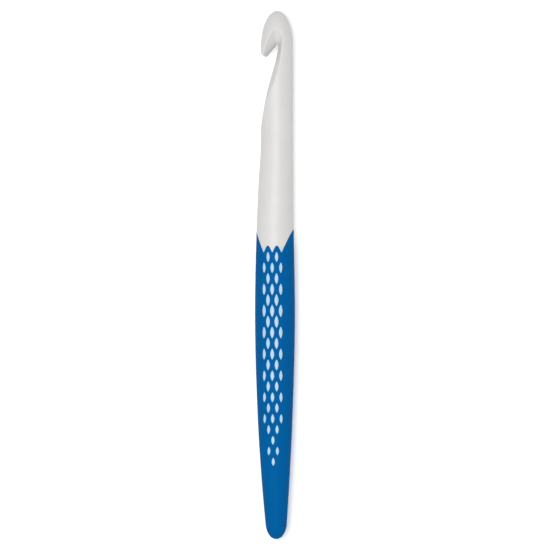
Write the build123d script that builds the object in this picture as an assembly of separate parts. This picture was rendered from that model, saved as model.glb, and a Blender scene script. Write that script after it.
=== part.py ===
"""Crochet hook with an overmoulded soft grip, in millimetres.

The hook lies on its belly on the plane Z = 0 with its long axis along Y, its head towards +Y
and its throat open towards -X. It is moulded in two shots: a stiff white body (head, throat,
shaft and the core that runs on through the grip) and a soft grip moulded over that core.
Rows of lens-shaped studs stand up from the core and fill matching windows in the grip.
Both shots are drawn along Z, so the throat, the zigzag edge of the grip and the studs are
mirror images about the horizontal plane through the hook's axis.

Distances called "from the tip" run along the hook from the end of its head.
"Behind" is towards +X, away from the throat's opening, and "ahead" is towards -X.
"""
from build123d import *
from bisect import bisect_right
from math import cos, sin, sqrt
import os

# ---- driving dimensions: the outer body that both shots share ------------------------------
OVERALL_LENGTH = 180.0
HEAD_DIAMETER = 11.0
HEAD_LENGTH = 12.4            # ogive, from the tip to the full head diameter
HEAD_RUN = 44.0               # the head diameter is kept this far from the tip
HEAD_BEHIND = 0.7             # the head's axis lies behind the grip's axis
HOOK_DIAMETER = 12.0          # nominal size, on the shaft where the loops are formed
HOOK_SIZED_AT = 60.0          # from the tip
HOOK_BEHIND = 0.3
NECK_DIAMETER = 12.7
NECK_AT = 75.0
NECK_BEHIND = 0.05
GRIP_DIAMETER = 13.6          # fullest point of the grip
GRIP_FULL_AT = 103.0
PALM_DIAMETER = 11.8
PALM_FROM_END = 41.0
PALM_BEHIND = 0.05
HEEL_DIAMETER = 9.5
HEEL_FROM_END = 20.3
HEEL_BEHIND = 0.2
TAIL_DIAMETER = 7.25          # where the rounded end begins
TAIL_CAP = 5.2                # length of the rounded end
TAIL_BEHIND = 0.4

# ---- driving dimensions: the throat --------------------------------------------------------
APEX_AT = 11.0                # deepest corner of the throat, from the tip
APEX_BEHIND = 0.1             # that corner, behind the head's axis
LIP_AT = 16.0                 # lowest point of the lip, from the tip
LIP_AHEAD = HEAD_DIAMETER * 0.345   # that point, ahead of the head's axis
LIP_RISE = 0.88               # rise of the lip's underside towards the front, per length
SLOPE_RUN_OUT = 42.0          # where the long slope of the throat meets the shaft
WALL_FLARE = HEAD_DIAMETER / 2.75   # the throat's walls open out this far at the hook's faces
THROAT_CLEARANCE = 3.0        # the space of the throat is drawn this far past the hook's front
APEX_RADIUS = 0.35            # rounding of the throat's deepest corner
LIP_RADIUS = 0.7              # rounding of the lip's lowest edge
THROAT_EDGE_RADIUS = HEAD_DIAMETER / 22.0    # rounding of the throat's rim
FILLET_FACE_AREA = 15.0       # the outer faces of the head are larger than this, its fillets smaller
SAME_POINT = 0.0001

# The long slope from the deepest corner to the shaft: distance from the tip, place behind the
# head's axis, and how far each of the two moves for every millimetre of flare.
SLOPE_POINTS = [
    (APEX_AT, APEX_BEHIND, -1.5, -0.13),
    (APEX_AT + 1.5, APEX_BEHIND + 0.4, -1.6, 0.6),
    (APEX_AT + 3.0, APEX_BEHIND + 0.18, -0.9, 0.72),
    (APEX_AT + 5.6, -0.35, 0.0, 0.63),
    (APEX_AT + 11.2, -1.9, 0.0, 0.565),
    (APEX_AT + 18.7, -3.8, 0.0, 0.42),
    (SLOPE_RUN_OUT - 6.0, 0.7 - HEAD_DIAMETER / 2, 0.0, 0.21),
    (SLOPE_RUN_OUT + 2.0, -0.35 - HEAD_DIAMETER / 2, 0.0, 0.0),
]

# ---- driving dimensions: the grip ----------------------------------------------------------
GRIP_WALL = 1.3
EDGE_POINTS_AT = 82.4         # points of the zigzag edge, from the tip
EDGE_POINT_SPACING = 3.2      # spacing of those points, along the surface
EDGE_BUMP = 2.4               # rise of the bumps between those points
EDGE_SIDE_RISE = 8.2          # rise of the edge from its outer points to the hook's sides
STUD_FIRST_AT = 83.9          # centre of the first row, from the tip
STUD_PITCH = 3.657            # spacing of the rows
STUD_MARGIN = 26.6            # the last row stays this far from the end of the hook
STUD_SPACING = 3.0            # spacing of the studs in a row, along the surface
STUD_LENGTHS = (3.5, 4.25, 2.8)    # in the first, the longest and the last row
STUD_WIDTHS = (1.3, 1.55, 1.2)
LONGEST_ROW = 5
SHORT_ROWS = 4                # the last rows have a single stud between the pairs
STUD_CROWN = 0.12             # the studs stand this proud of the grip
SECTION_STEP = 5.0            # spacing of the sections that the body is lofted through
ELLIPSE_HANDLE = 0.5523       # share of a side that makes a Bezier curve a quarter ellipse
BUMP_FLANK = 0.2              # share of a bump's width that its flanks lean in by
BUMP_CROWN = 0.17             # share of a bump's width that rounds each side of its top

TAIL_AT = OVERALL_LENGTH - TAIL_CAP
AXIS_HEIGHT = GRIP_DIAMETER / 2 + STUD_CROWN

# Distance from the tip, radius, and how far the centre lies behind the grip's axis.
STATIONS = [
    (HEAD_RUN, HEAD_DIAMETER / 2, HEAD_BEHIND),
    (HOOK_SIZED_AT, HOOK_DIAMETER / 2, HOOK_BEHIND),
    (NECK_AT, NECK_DIAMETER / 2, NECK_BEHIND),
    (GRIP_FULL_AT, GRIP_DIAMETER / 2, 0.0),
    (OVERALL_LENGTH - PALM_FROM_END, PALM_DIAMETER / 2, PALM_BEHIND),
    (OVERALL_LENGTH - HEEL_FROM_END, HEEL_DIAMETER / 2, HEEL_BEHIND),
    (TAIL_AT, TAIL_DIAMETER / 2, TAIL_BEHIND),
]


def station_slope(index, column):
    """Slope of a station value: level at the head and at the fullest point of the grip."""
    if index == 0 or STATIONS[index][0] == GRIP_FULL_AT:
        return 0.0
    before = STATIONS[index - 1]
    here = STATIONS[index]
    last = (here[column] - before[column]) / (here[0] - before[0])
    if index == len(STATIONS) - 1:
        return 1.5 * last - 0.5 * station_slope(index - 1, column)
    after = STATIONS[index + 1]
    following = (after[column] - here[column]) / (after[0] - here[0])
    return (last + following) / 2


def along(distance, column):
    """Smooth value of a station column at a distance from the tip."""
    places = [station[0] for station in STATIONS]
    index = min(max(bisect_right(places, distance) - 1, 0), len(STATIONS) - 2)
    start, end = STATIONS[index], STATIONS[index + 1]
    run = end[0] - start[0]
    t = min(max((distance - start[0]) / run, 0.0), 1.0)
    rise = t * t * (3 - 2 * t)
    leaving = t * (1 - t) ** 2 * run * station_slope(index, column)
    arriving = t * t * (t - 1) * run * station_slope(index + 1, column)
    return start[column] + (end[column] - start[column]) * rise + leaving + arriving


def radius_at(distance):
    return along(distance, 1)


def behind_at(distance):
    return along(distance, 2)


def place(distance, behind=0.0, height=0.0):
    """Point at a distance from the tip, behind and above the grip's axis."""
    return Vector(behind, OVERALL_LENGTH / 2 - distance, AXIS_HEIGHT + height)


def through(outline):
    """Prism of a plan outline, standing right through the hook."""
    low = Pos(0, 0, -2 * GRIP_DIAMETER) * make_face(outline)
    return extrude(low, amount=4 * GRIP_DIAMETER, dir=(0, 0, 1))


def section(distance, grow):
    """Round section of the body across the hook, grown or shrunk all round.

    Its seam lies low on the back, clear of the studs and of the grip edge's peaks.
    """
    plane = Plane(place(distance, behind_at(distance)), x_dir=(1, 0, -1), z_dir=(0, -1, 0))
    return plane * Circle(radius_at(distance) + grow)


def taper(start, grow):
    """Body from a distance to where the rounded tail begins."""
    count = max(2, round((TAIL_AT - start) / SECTION_STEP))
    step = (TAIL_AT - start) / count
    return loft([section(start + step * number, grow) for number in range(count + 1)])


def turned_end(joint_at, end_at, radius, behind, fall=0.0):
    """Rounded end of the body, turned about its own axis.

    Its outline leaves the joint along the body's taper and closes squarely on the axis.
    """
    length = end_at - joint_at
    rim = place(joint_at, behind + radius)
    end = place(end_at, behind)
    round_side = Bezier(
        rim, place(joint_at + ELLIPSE_HANDLE * length,
                   behind + radius - fall * ELLIPSE_HANDLE * abs(length)),
        place(end_at, behind + ELLIPSE_HANDLE * radius), end)
    centre = place(joint_at, behind)
    outline = [round_side, Line(end, centre), Line(centre, rim)]
    return revolve(make_face(outline), Axis(centre, (0, 1, 0)))


def head_and_run():
    """Rounded head and the straight run behind it."""
    head = turned_end(HEAD_LENGTH, 0.0, HEAD_DIAMETER / 2, HEAD_BEHIND)
    return head + extrude(section(HEAD_RUN, 0.0), amount=-(HEAD_RUN - HEAD_LENGTH))


def tail_cap(grow):
    """Rounded end of the tail, which carries on the taper of the body without a crease."""
    fall = -station_slope(len(STATIONS) - 1, 1)
    end_at = OVERALL_LENGTH + grow
    return turned_end(TAIL_AT, end_at, TAIL_DIAMETER / 2 + grow, TAIL_BEHIND, fall)


def throat_section(height):
    """Plan of the throat at a height above the axis: it opens out towards both faces.

    Each point of the slope is given in the middle plane and moves with the flare of the walls.
    """
    radius = HEAD_DIAMETER / 2
    flare = WALL_FLARE * (height / radius) ** 2
    lip = (LIP_AT, HEAD_BEHIND - LIP_AHEAD)
    apex = (APEX_AT, HEAD_BEHIND + APEX_BEHIND)
    wall = (lip[0] - apex[0], lip[1] - apex[1])
    size = sqrt(wall[0] ** 2 + wall[1] ** 2)
    lip = (lip[0] + wall[1] / size * flare, lip[1] - wall[0] / size * flare)
    clear = HEAD_BEHIND - radius - THROAT_CLEARANCE
    front = (lip[0] - (lip[1] - clear) * LIP_RISE, clear)
    slope = [(at + along_flare * flare, HEAD_BEHIND + behind + behind_flare * flare)
             for at, behind, along_flare, behind_flare in SLOPE_POINTS]
    mouth = (slope[-1][0], clear)
    sides = [Spline([place(*point, height) for point in slope])]
    corners = [slope[-1], mouth, front, lip, slope[0]]
    for here, there in zip(corners, corners[1:]):
        sides.append(Line(place(*here, height), place(*there, height)))
    return make_face(sides)


def throat():
    """Space of the throat, lofted upwards through its plans."""
    top = HEAD_DIAMETER / 2 * 1.25
    heights = [top * share for share in (-1.0, -0.7, -0.35, 0.0, 0.35, 0.7, 1.0)]
    return loft([throat_section(height) for height in heights])


def nearest_edge(part, point):
    return min(part.edges(), key=lambda edge: (edge.center() - point).length)


def hook_end():
    """Head and straight run with the throat cut, its corners and its rim rounded."""
    cutter = throat()
    end = head_and_run() - cutter
    lip_line = nearest_edge(end, place(LIP_AT, HEAD_BEHIND - LIP_AHEAD))
    end = fillet(lip_line, LIP_RADIUS)
    apex_line = nearest_edge(end, place(APEX_AT, HEAD_BEHIND + APEX_BEHIND))
    end = fillet(apex_line, APEX_RADIUS)
    turned = (GeomType.REVOLUTION, GeomType.CYLINDER)
    outside = [face for face in end.faces()
               if face.geom_type in turned and face.area > FILLET_FACE_AREA]
    walls = [face for face in end.faces()
             if face not in outside and face.geom_type != GeomType.PLANE]
    wall_edges = [edge.center() for face in walls for edge in face.edges()]
    rim = [edge for face in outside for edge in face.edges()
           if any((edge.center() - centre).length < SAME_POINT for centre in wall_edges)]
    return fillet(rim, THROAT_EDGE_RADIUS)


def grip_zone():
    """Everything on the grip's side of its zigzag edge, drawn along the hook's height.

    The edge has three points, a rounded bump between each two, and a straight rise from the
    outer points to the hook's sides. It is drawn on past the sides at the same slope, until it
    clears the fullest point of the grip.
    """
    radius = radius_at(EDGE_POINTS_AT)
    behind = behind_at(EDGE_POINTS_AT)
    turn = EDGE_POINT_SPACING / radius
    point_out = radius * sin(turn)
    tips = [behind - point_out, behind, behind + point_out]
    edges = []
    for left, right in zip(tips, tips[1:]):
        middle = (left + right) / 2
        top = EDGE_POINTS_AT - EDGE_BUMP
        for tip, side in ((left, -1), (right, 1)):
            flank = tip - side * (right - left) * BUMP_FLANK
            crown = middle + side * (right - left) * BUMP_CROWN
            edges.append(Bezier(
                place(EDGE_POINTS_AT, tip), place((EDGE_POINTS_AT + top) / 2, flank),
                place(top, crown), place(top, middle)))
    out = max(radius + GRIP_WALL, GRIP_DIAMETER / 2 + STUD_CROWN)
    far = EDGE_POINTS_AT - EDGE_SIDE_RISE * (out - point_out) / (radius - point_out)
    beyond = OVERALL_LENGTH + GRIP_WALL
    edges.append(Polyline(
        place(EDGE_POINTS_AT, tips[0]), place(far, behind - out), place(beyond, behind - out),
        place(beyond, behind + out), place(far, behind + out), place(EDGE_POINTS_AT, tips[-1])))
    return through(edges)


def stud_rows():
    """Distance from the tip, number of studs, length and width for each row."""
    last_at = OVERALL_LENGTH - STUD_MARGIN
    rows = int((last_at - STUD_FIRST_AT) / STUD_PITCH + 1.05)
    for row in range(rows):
        if row <= LONGEST_ROW:
            start, end, share = 0, 1, row / LONGEST_ROW
        else:
            start, end, share = 1, 2, (row - LONGEST_ROW) / (rows - 1 - LONGEST_ROW)
        length = STUD_LENGTHS[start] + (STUD_LENGTHS[end] - STUD_LENGTHS[start]) * share
        width = STUD_WIDTHS[start] + (STUD_WIDTHS[end] - STUD_WIDTHS[start]) * share
        odd = 1 if row >= rows - SHORT_ROWS else 3
        yield STUD_FIRST_AT + row * STUD_PITCH, odd if row % 2 else 2, length, width


def stud_columns():
    """Lens-shaped posts of all the studs, running right through the hook along its height."""
    posts = []
    for at, count, length, width in stud_rows():
        radius = radius_at(at)
        for number in range(count):
            angle = (number - (count - 1) / 2) * STUD_SPACING / radius
            across = behind_at(at) + radius * sin(angle)
            half = width / 2 * cos(angle)
            ends = [place(at - length / 2, across), place(at + length / 2, across)]
            sides = [ThreePointArc(ends[0], place(at, across + side * half), ends[1])
                     for side in (-1, 1)]
            posts.append(through(sides))
    return posts


def soft_grip(body, zone, posts, core_body):
    """Soft shell round the core, with a window for each stud.

    The windows are cut in the zone's prism first, where every wall stands upright.
    """
    return (body - core_body) & (zone - posts)


def hook_core(body, zone, posts, core_body):
    """Hook end, bare shaft down to the zigzag edge, and the core with its studs."""
    proud = taper(NECK_AT, STUD_CROWN)
    studs = [proud & post for post in posts]
    return hook_end() + (body - zone) + core_body + studs


def build():
    os.makedirs("parts", exist_ok=True)
    body = taper(HEAD_RUN, 0.0) + tail_cap(0.0)
    core_body = taper(NECK_AT - EDGE_SIDE_RISE, -GRIP_WALL) + tail_cap(-GRIP_WALL)
    shared = (body, grip_zone(), stud_columns(), core_body)
    export_step(hook_core(*shared), "parts/hook_core.step")
    export_step(soft_grip(*shared), "parts/soft_grip.step")


build()
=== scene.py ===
from bisect import bisect_right
from math import atan, cos, radians, sin
import bpy
import numpy as np
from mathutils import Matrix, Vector


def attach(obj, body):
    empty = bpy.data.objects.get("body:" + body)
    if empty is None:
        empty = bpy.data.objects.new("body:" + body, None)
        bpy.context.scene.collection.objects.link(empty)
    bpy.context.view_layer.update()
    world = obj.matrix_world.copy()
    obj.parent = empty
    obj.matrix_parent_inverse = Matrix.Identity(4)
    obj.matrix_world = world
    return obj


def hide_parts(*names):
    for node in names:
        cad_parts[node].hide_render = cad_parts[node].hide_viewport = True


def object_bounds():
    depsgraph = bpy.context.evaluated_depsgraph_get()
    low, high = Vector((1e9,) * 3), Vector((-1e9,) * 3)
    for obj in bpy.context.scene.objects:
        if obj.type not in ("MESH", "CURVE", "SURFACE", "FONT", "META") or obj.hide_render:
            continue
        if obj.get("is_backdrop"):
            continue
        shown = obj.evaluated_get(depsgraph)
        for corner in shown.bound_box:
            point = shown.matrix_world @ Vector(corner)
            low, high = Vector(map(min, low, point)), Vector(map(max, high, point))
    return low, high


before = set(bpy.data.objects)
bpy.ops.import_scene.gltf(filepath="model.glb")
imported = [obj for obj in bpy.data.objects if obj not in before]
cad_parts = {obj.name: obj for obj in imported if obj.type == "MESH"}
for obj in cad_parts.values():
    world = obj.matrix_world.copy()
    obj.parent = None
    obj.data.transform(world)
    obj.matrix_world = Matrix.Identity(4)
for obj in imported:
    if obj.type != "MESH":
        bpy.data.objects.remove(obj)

CAD_LOW, CAD_HIGH = (Vector(corner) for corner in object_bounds())

MM = 0.001
HOOK_LENGTH = CAD_HIGH.y - CAD_LOW.y
CENTRE = (CAD_LOW + CAD_HIGH) / 2
OVERALL_LENGTH = HOOK_LENGTH / MM
AXIS_HEIGHT = CENTRE.z / MM

# ---- camera, light and floor, in metres ----------------------------------------------------
CAMERA_TILT = radians(8.3)     # the camera looks down from a little behind the hook's back
CAMERA_DISTANCE = 1.2
FRAMED_LENGTH = HOOK_LENGTH * 1.0416    # the view takes in this much of the hook's axis
SENSOR_WIDTH = 36.0            # in millimetres
NEAREST_SEEN = 0.05
FARTHEST_SEEN = 20.0
KEY_HEIGHT = 1.1               # the key softbox hangs this far above the hook
KEY_WIDTH = 0.8
KEY_WATTS = 13.0
SKY_STRENGTH = 0.2
FLOOR_REACH = 3.0
FLOOR_GLOW = 0.22              # the table is lit from below, so shadows stay faint

# ---- finishes: each pair of colours is a mottle's darkest and lightest ---------------------
TABLE_GREYS = ((0.90, 0.90, 0.90), (0.93, 0.93, 0.93))
HOOK_WHITES = ((0.640, 0.631, 0.621), (0.660, 0.651, 0.641))
BLUISH_WHITES = ((0.385, 0.600, 0.810), (0.410, 0.622, 0.830))
GRIP_BLUES = ((0.0004, 0.099, 0.302), (0.0005, 0.106, 0.324))
BLUISH_FROM = 0.0790           # from the tip, in metres: the white starts to turn bluish
BLUISH_FULL = 0.0836
NOISE_LOW, NOISE_HIGH = 0.3, 0.7    # a noise lies mostly between these
HOOK_ROUGHNESS = (0.42, 0.50)
GRIP_ROUGHNESS = (0.56, 0.68)
SEAM_FLAT = 0.00003            # the moulding line is level this far from its middle
SEAM_WIDTH = 0.00012           # and ends this far from it
SEAM_HEIGHT = 0.00005
HOOK_GRAIN = 0.000004          # depth of the grain, in metres
GRIP_GRAIN = 0.00001
GRIP_RIM_RADIUS = 0.00025      # the soft grip's sharp edges are shaded as if rounded

# ---- the studs of the core, in millimetres, as the moulded body has them ------------------
STUD_CROWN = 0.118             # their middles are this proud, just inside the moulded body's
STUD_FIRST_AT = 83.9           # centre of the first row, from the tip of the head
STUD_PITCH = 3.657
STUD_MARGIN = 26.6             # the last row stays this far from the end of the tail
STUD_SPACING = 3.0             # spacing in a row, along the surface
STUD_LENGTHS = (3.5, 4.25, 2.8)    # in the first, the longest and the last row
STUD_WIDTHS = (1.3, 1.55, 1.2)
STUD_FIT = 1.04                # the studs press this much into the sides of their windows
STUD_FOOT = 0.35               # depth of a stud's rim under the grip's surface
POST_DEPTH = 0.3               # the body's posts end this far under the grip's surface
LONGEST_ROW = 5
SHORT_ROWS = 4                 # the last rows have a single stud between the pairs
ROW_SLACK = 0.05               # a last row that nearly reaches the margin still counts
SLOPE_STEP = 0.5               # the grip's lean is measured over this far each way
WELD = 1e-7                    # points closer than this, in metres, are one point

# Distance from the tip, radius, and how far the centre lies behind the grip's axis.
STATIONS = [
    (44.0, 5.5, 0.7),
    (60.0, 6.0, 0.3),
    (75.0, 6.35, 0.05),
    (103.0, 6.8, 0.0),
    (OVERALL_LENGTH - 41.0, 5.9, 0.05),
    (OVERALL_LENGTH - 20.3, 4.75, 0.2),
    (OVERALL_LENGTH - 5.2, 3.625, 0.4),
]
FULLEST = 3                    # the station where the grip is fullest


def camera():
    data = bpy.data.cameras.new("hook_camera")
    data.sensor_width = SENSOR_WIDTH
    data.lens = SENSOR_WIDTH * CAMERA_DISTANCE / FRAMED_LENGTH
    data.clip_start = NEAREST_SEEN
    data.clip_end = FARTHEST_SEEN
    shown = bpy.data.objects.new("hook_camera", data)
    bpy.context.collection.objects.link(shown)
    back = Vector((sin(CAMERA_TILT), 0.0, cos(CAMERA_TILT)))
    aim = Vector((0.0, CENTRE.y, CENTRE.z))
    shown.location = aim + back * CAMERA_DISTANCE
    shown.rotation_euler = (0.0, CAMERA_TILT, 0.0)
    bpy.context.scene.camera = shown


def key_softbox():
    """Round softbox straight overhead, facing down."""
    data = bpy.data.lights.new("key_softbox", "AREA")
    data.shape = "DISK"
    data.size = KEY_WIDTH
    data.energy = KEY_WATTS
    shown = bpy.data.objects.new("key_softbox", data)
    bpy.context.collection.objects.link(shown)
    shown.location = CENTRE + Vector((0.0, 0.0, KEY_HEIGHT))


def studio():
    world = bpy.data.worlds.new("pale_studio")
    world.use_nodes = True
    background = world.node_tree.nodes["Background"]
    background.inputs["Color"].default_value = (1.0, 1.0, 1.0, 1.0)
    background.inputs["Strength"].default_value = SKY_STRENGTH
    bpy.context.scene.world = world
    bpy.context.scene.view_settings.view_transform = "Standard"


def floor():
    far = FLOOR_REACH
    mesh = bpy.data.meshes.new("studio_floor")
    corners = [(-far, -far, 0), (far, -far, 0), (far, far, 0), (-far, far, 0)]
    mesh.from_pydata(corners, [], [(0, 1, 2, 3)])
    shown = bpy.data.objects.new("studio_floor", mesh)
    bpy.context.collection.objects.link(shown)
    mesh.materials.append(light_table())
    shown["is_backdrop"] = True


class Surface:
    """Node material with a Principled surface and short calls for its nodes."""

    def __init__(self, name):
        self.material = bpy.data.materials.new(name)
        self.material.use_nodes = True
        self.tree = self.material.node_tree
        self.shader = self.tree.nodes["Principled BSDF"]

    def node(self, kind, **settings):
        made = self.tree.nodes.new(kind)
        for name, value in settings.items():
            if name in made.inputs:
                made.inputs[name].default_value = value
            else:
                setattr(made, name, value)
        return made

    def join(self, out, into):
        self.tree.links.new(out, into)

    def drive(self, name, out):
        self.join(out, self.shader.inputs[name])

    def set(self, name, value):
        self.shader.inputs[name].default_value = value

    def coordinates(self):
        return self.node("ShaderNodeTexCoord").outputs["Object"]

    def noise(self, scale, detail=3.0, roughness=0.5):
        noise = self.node("ShaderNodeTexNoise", Scale=scale, Detail=detail, Roughness=roughness)
        self.join(self.coordinates(), noise.inputs["Vector"])
        return noise.outputs["Fac"]

    def away_from(self, value, middle):
        """How far a value lies from a middle one, either way."""
        offset = self.node("ShaderNodeMath", operation="SUBTRACT")
        self.join(value, offset.inputs[0])
        offset.inputs[1].default_value = middle
        size = self.node("ShaderNodeMath", operation="ABSOLUTE")
        self.join(offset.outputs[0], size.inputs[0])
        return size.outputs[0]

    def mottle(self, factor, colours, low=NOISE_LOW, high=NOISE_HIGH):
        """Colour that runs from the first to the second as the factor goes from low to high."""
        node = self.node("ShaderNodeValToRGB")
        for element, place, colour in zip(node.color_ramp.elements, (low, high), colours):
            element.position = place
            element.color = (*colour, 1.0)
        self.join(factor, node.inputs["Fac"])
        return node.outputs["Color"]

    def range(self, value, low, high, out_low, out_high):
        """Value mapped smoothly from one range to another and held at its ends."""
        node = self.node("ShaderNodeMapRange", interpolation_type="SMOOTHSTEP")
        self.join(value, node.inputs["Value"])
        for name, number in (("From Min", low), ("From Max", high),
                             ("To Min", out_low), ("To Max", out_high)):
            node.inputs[name].default_value = number
        return node.outputs["Result"]

    def mix(self, factor, first, second):
        """Colour between two others. The node's sockets for colours go by number."""
        node = self.node("ShaderNodeMix", data_type="RGBA")
        for slot, value in ((0, factor), (6, first), (7, second)):
            self.join(value, node.inputs[slot])
        return node.outputs[2]

    def relief(self, height, depth, below=None):
        """Normal of a surface raised by a height from 0 to 1, over a depth in metres."""
        node = self.node("ShaderNodeBump", Distance=depth)
        self.join(height, node.inputs["Height"])
        if below is not None:
            self.join(below, node.inputs["Normal"])
        return node.outputs["Normal"]

    def place(self):
        """The three coordinates of the surface, in metres in the hook's own frame."""
        split = self.node("ShaderNodeSeparateXYZ")
        self.join(self.coordinates(), split.inputs["Vector"])
        return split.outputs


def light_table():
    table = Surface("light_table")
    table.drive("Base Color", table.mottle(table.noise(300.0), TABLE_GREYS, 0.0, 1.0))
    table.set("Roughness", 0.9)
    table.set("Specular IOR Level", 0.0)
    table.set("Emission Color", (1.0, 1.0, 1.0, 1.0))
    table.set("Emission Strength", FLOOR_GLOW)
    return table.material


def hook_plastic():
    """Satin white polymer: faintly mottled, bluish where it lies among the soft grip.

    A fine moulding line runs along both sides at the height of the hook's axis.
    """
    plastic = Surface("hook_plastic")
    place = plastic.place()
    mottle = plastic.noise(180.0, 4.0, 0.6)
    white = plastic.mottle(mottle, HOOK_WHITES)
    bluish = plastic.mottle(mottle, BLUISH_WHITES)
    among_grip = plastic.range(
        place["Y"], CAD_HIGH.y - BLUISH_FULL, CAD_HIGH.y - BLUISH_FROM, 1.0, 0.0)
    plastic.drive("Base Color", plastic.mix(among_grip, white, bluish))
    gloss = plastic.range(plastic.noise(900.0), NOISE_LOW, NOISE_HIGH, *HOOK_ROUGHNESS)
    plastic.drive("Roughness", gloss)
    plastic.set("Specular IOR Level", 0.3)
    from_line = plastic.away_from(place["Z"], AXIS_HEIGHT * MM)
    line = plastic.range(from_line, SEAM_FLAT, SEAM_WIDTH, 1.0, 0.0)
    seam = plastic.relief(line, SEAM_HEIGHT)
    plastic.drive("Normal", plastic.relief(plastic.noise(2500.0, 2.0), HOOK_GRAIN, seam))
    return plastic.material


def grip_rubber():
    """Soft-touch elastomer, nearly without gloss, with a fine satin grain."""
    rubber = Surface("grip_rubber")
    rubber.drive("Base Color", rubber.mottle(rubber.noise(220.0, 4.0, 0.6), GRIP_BLUES))
    satin = rubber.range(rubber.noise(700.0), NOISE_LOW, NOISE_HIGH, *GRIP_ROUGHNESS)
    rubber.drive("Roughness", satin)
    rubber.set("Specular IOR Level", 0.015)
    soft_rim = rubber.node("ShaderNodeBevel", Radius=GRIP_RIM_RADIUS, samples=4)
    grain = rubber.relief(rubber.noise(3200.0, 2.0), GRIP_GRAIN, soft_rim.outputs["Normal"])
    rubber.drive("Normal", grain)
    return rubber.material


def station_slope(index, column):
    """Slope of a station value: level at the head and at the fullest point of the grip."""
    if index in (0, FULLEST):
        return 0.0
    before, here = STATIONS[index - 1], STATIONS[index]
    last = (here[column] - before[column]) / (here[0] - before[0])
    if index == len(STATIONS) - 1:
        return 1.5 * last - 0.5 * station_slope(index - 1, column)
    after = STATIONS[index + 1]
    following = (after[column] - here[column]) / (after[0] - here[0])
    return (last + following) / 2


def along(distance, column):
    """Smooth value of a station column at a distance from the tip."""
    places = [station[0] for station in STATIONS]
    index = min(max(bisect_right(places, distance) - 1, 0), len(STATIONS) - 2)
    start, end = STATIONS[index], STATIONS[index + 1]
    run = end[0] - start[0]
    t = min(max((distance - start[0]) / run, 0.0), 1.0)
    leaving = t * (1 - t) ** 2 * run * station_slope(index, column)
    arriving = t * t * (t - 1) * run * station_slope(index + 1, column)
    return start[column] + (end[column] - start[column]) * t * t * (3 - 2 * t) + leaving + arriving


def stud_places():
    """Distance from the tip, turn about the axis, length and width of every stud."""
    last_at = OVERALL_LENGTH - STUD_MARGIN
    rows = int((last_at - STUD_FIRST_AT) / STUD_PITCH + 1 + ROW_SLACK)
    for row in range(rows):
        if row <= LONGEST_ROW:
            start, end, share = 0, 1, row / LONGEST_ROW
        else:
            start, end, share = 1, 2, (row - LONGEST_ROW) / (rows - 1 - LONGEST_ROW)
        length = STUD_LENGTHS[start] + (STUD_LENGTHS[end] - STUD_LENGTHS[start]) * share
        width = STUD_WIDTHS[start] + (STUD_WIDTHS[end] - STUD_WIDTHS[start]) * share
        odd = 1 if row >= rows - SHORT_ROWS else 3
        count = odd if row % 2 else 2
        at = STUD_FIRST_AT + row * STUD_PITCH
        for number in range(count):
            turn = (number - (count - 1) / 2) * STUD_SPACING / along(at, 1)
            for facing in (turn, radians(180.0) - turn):
                yield at, facing, length, width * cos(turn)


def stud_seats():
    """Mesh with one point on the grip's surface for each stud, and how the stud sits there."""
    points, turns, leans, sizes = [], [], [], []
    for at, turn, length, width in stud_places():
        radius = along(at, 1)
        across = along(at, 2) + radius * sin(turn)
        points.append((across * MM, (OVERALL_LENGTH / 2 - at) * MM,
                       (AXIS_HEIGHT + radius * cos(turn)) * MM))
        turns.append(turn)
        rise = along(at + SLOPE_STEP, 1) - along(at - SLOPE_STEP, 1)
        leans.append(atan(rise / (2 * SLOPE_STEP)))
        sizes.append((width * STUD_FIT * MM, length * STUD_FIT * MM, 1.0))
    mesh = bpy.data.meshes.new("stud_seats")
    mesh.from_pydata(points, [], [])
    mesh.attributes.new("turn", "FLOAT", "POINT").data.foreach_set("value", turns)
    mesh.attributes.new("lean", "FLOAT", "POINT").data.foreach_set("value", leans)
    size = mesh.attributes.new("size", "FLOAT_VECTOR", "POINT")
    size.data.foreach_set("vector", [number for row in sizes for number in row])
    return mesh


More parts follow.
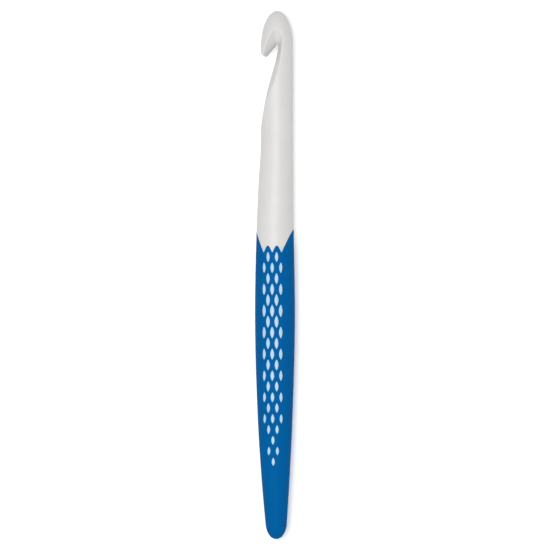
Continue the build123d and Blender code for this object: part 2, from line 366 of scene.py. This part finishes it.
class Tree:
    """Geometry node tree with named inputs and short calls for its nodes."""

    def __init__(self, name, inputs):
        self.tree = bpy.data.node_groups.new(name, "GeometryNodeTree")
        face = self.tree.interface
        face.new_socket("Geometry", in_out="INPUT", socket_type="NodeSocketGeometry")
        face.new_socket("Geometry", in_out="OUTPUT", socket_type="NodeSocketGeometry")
        self.identifiers = {}
        for label, kind in inputs:
            made = face.new_socket(label, in_out="INPUT", socket_type="NodeSocket" + kind)
            self.identifiers[label] = made.identifier
        self.given = self.tree.nodes.new("NodeGroupInput").outputs

    def node(self, kind, links=(), **settings):
        made = self.tree.nodes.new(kind)
        for name, value in settings.items():
            setattr(made, name, value)
        for slot, value in dict(links).items():
            if hasattr(value, "is_linked"):
                self.tree.links.new(value, made.inputs[slot])
            else:
                made.inputs[slot].default_value = value
        return made

    def math(self, operation, *values):
        return self.node("ShaderNodeMath", enumerate(values), operation=operation).outputs[0]

    def attribute(self, name, kind="FLOAT"):
        node = self.node("GeometryNodeInputNamedAttribute", {"Name": name}, data_type=kind)
        return node.outputs["Attribute"]

    def vector(self, x, y, z):
        return self.node("ShaderNodeCombineXYZ", {"X": x, "Y": y, "Z": z}).outputs[0]

    def end(self, geometry, material):
        real = self.node("GeometryNodeRealizeInstances", {"Geometry": geometry}).outputs[0]
        painted = self.node("GeometryNodeSetMaterial", {"Geometry": real, "Material": material})
        out = self.tree.nodes.new("NodeGroupOutput")
        self.tree.links.new(painted.outputs[0], out.inputs[0])

    def grow(self, name, base, values):
        """Plain mesh object that the tree makes from a base mesh and the given values."""
        grower = bpy.data.objects.new(name, base)
        bpy.context.collection.objects.link(grower)
        modifier = grower.modifiers.new(name, "NODES")
        modifier.node_group = self.tree
        for label, value in values.items():
            modifier[self.identifiers[label]] = value
        bpy.context.view_layer.update()
        shaped = grower.evaluated_get(bpy.context.evaluated_depsgraph_get())
        mesh = bpy.data.meshes.new_from_object(shaped)
        mesh.name = name
        grower.modifiers.remove(modifier)
        grower.data = mesh
        return grower


def stud_tree():
    """One lens-shaped stud on every seat: a rounded crown with its foot inside the grip.

    The two turns say how squarely the crown comes down at its sides and at its ends.
    """
    tree = Tree("studs_on_core", [
        ("Crown", "Float"), ("Foot", "Float"), ("Side turn", "Float"), ("End turn", "Float"),
        ("Steps along", "Int"), ("Steps across", "Int"), ("Material", "Material")])
    given = tree.given
    grid = tree.node("GeometryNodeMeshGrid", {
        "Size X": 2.0, "Size Y": 2.0,
        "Vertices X": given["Steps across"], "Vertices Y": given["Steps along"]})
    spot = tree.node("GeometryNodeInputPosition").outputs[0]
    split = tree.node("ShaderNodeSeparateXYZ", {0: spot}).outputs
    # Both runs are bent so that the steps crowd towards the rim, where the crown turns down.
    quarter = radians(90.0)
    across = tree.math("SINE", tree.math("MULTIPLY", split[0], quarter))
    lengthwise = tree.math("SINE", tree.math("MULTIPLY", split[1], quarter))
    narrowing = tree.math("SUBTRACT", 1.0, tree.math("MULTIPLY", lengthwise, lengthwise))
    half_width = tree.math("MULTIPLY", tree.math("MULTIPLY", across, 0.5), narrowing)
    rim_across = tree.math("POWER", tree.math("ABSOLUTE", across), given["Side turn"])
    rim_along = tree.math("POWER", tree.math("ABSOLUTE", lengthwise), given["End turn"])
    fullness = tree.math("MULTIPLY", tree.math("SUBTRACT", 1.0, rim_across),
                         tree.math("SUBTRACT", 1.0, rim_along))
    rise = tree.math("ADD", given["Crown"], given["Foot"])
    height = tree.math("SUBTRACT", tree.math("MULTIPLY", rise, fullness), given["Foot"])
    shape = tree.vector(half_width, tree.math("MULTIPLY", lengthwise, 0.5), height)
    lens = tree.node("GeometryNodeSetPosition", {"Geometry": grid.outputs[0], "Position": shape})
    closed = tree.node("GeometryNodeMergeByDistance", {
        "Geometry": lens.outputs[0], "Distance": WELD})
    smooth = tree.node("GeometryNodeSetShadeSmooth", {"Geometry": closed.outputs[0]})
    turning = tree.vector(tree.attribute("lean"), tree.attribute("turn"), 0.0)
    placed = tree.node("GeometryNodeInstanceOnPoints", {
        "Points": given["Geometry"], "Instance": smooth.outputs[0],
        "Rotation": turning, "Scale": tree.attribute("size", "FLOAT_VECTOR")})
    tree.end(placed.outputs[0], given["Material"])
    return tree


def belongs_to_core(piece):
    """The piece stands for the CAD's moulded body: it hangs under the root body, and the CAD node
    is hidden.
    """
    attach(piece, "root")
    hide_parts("hook_core")


def studs(material):
    made = stud_tree().grow("grip_studs", stud_seats(), {
        "Crown": STUD_CROWN * MM, "Foot": STUD_FOOT * MM, "Side turn": 9.0, "End turn": 15.0,
        "Steps along": 15, "Steps across": 9, "Material": material})
    belongs_to_core(made)


def sunk_posts(spots):
    """The body's points, in millimetres, with its stud tops drawn in under the grip."""
    count = len(spots)
    distance = OVERALL_LENGTH / 2 - spots[:, 1]
    radius = np.array([along(at, 1) for at in distance])
    behind = np.array([along(at, 2) for at in distance])
    centre = np.column_stack([behind, np.full(count, AXIS_HEIGHT)])
    out = spots[:, [0, 2]] - centre
    reach = np.hypot(out[:, 0], out[:, 1])
    tops = (reach > radius + STUD_CROWN / 2) & (distance > STUD_FIRST_AT - STUD_PITCH)
    share = (radius[tops] - POST_DEPTH) / reach[tops]
    sunk = spots.copy()
    sunk[np.ix_(tops, [0, 2])] = centre[tops] + out[tops] * share[:, None]
    return sunk


def moulded_body(material):
    """The moulded body with its stud posts ended inside the grip, to carry the rounded crowns.

    It is a welded copy of the body's own surface and keeps that surface's shading normals.
    """
    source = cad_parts["hook_core"].data
    spots = np.empty(len(source.vertices) * 3)
    source.vertices.foreach_get("co", spots)
    spots = sunk_posts(spots.reshape(-1, 3) / MM) * MM
    corners = np.empty(len(source.loops), int)
    source.loops.foreach_get("vertex_index", corners)
    normals = np.array([normal.vector[:] for normal in source.corner_normals])
    _, first, same = np.unique(np.round(spots / WELD).astype(int), axis=0,
                               return_index=True, return_inverse=True)
    faces = same.reshape(-1)[corners].reshape(-1, 3)
    whole = (faces != np.roll(faces, 1, axis=1)).all(axis=1)    # the weld closes tiny faces up
    mesh = bpy.data.meshes.new("moulded_body")
    mesh.from_pydata(spots[first].tolist(), [], faces[whole].tolist())
    mesh.shade_smooth()
    mesh.normals_split_custom_set(normals.reshape(-1, 3, 3)[whole].reshape(-1, 3).tolist())
    mesh.materials.append(material)
    body = bpy.data.objects.new("moulded_body", mesh)
    bpy.context.collection.objects.link(body)
    belongs_to_core(body)


def finish_node(name, material):
    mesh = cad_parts[name].data
    mesh.materials.clear()
    mesh.materials.append(material)


def write_sizes():
    low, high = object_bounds()
    sizes = {"cad": [list(CAD_LOW), list(CAD_HIGH)], "visual": [list(low), list(high)]}


camera()
studio()
key_softbox()
floor()
white = hook_plastic()
moulded_body(white)
studs(white)
finish_node("soft_grip", grip_rubber())
write_sizes()
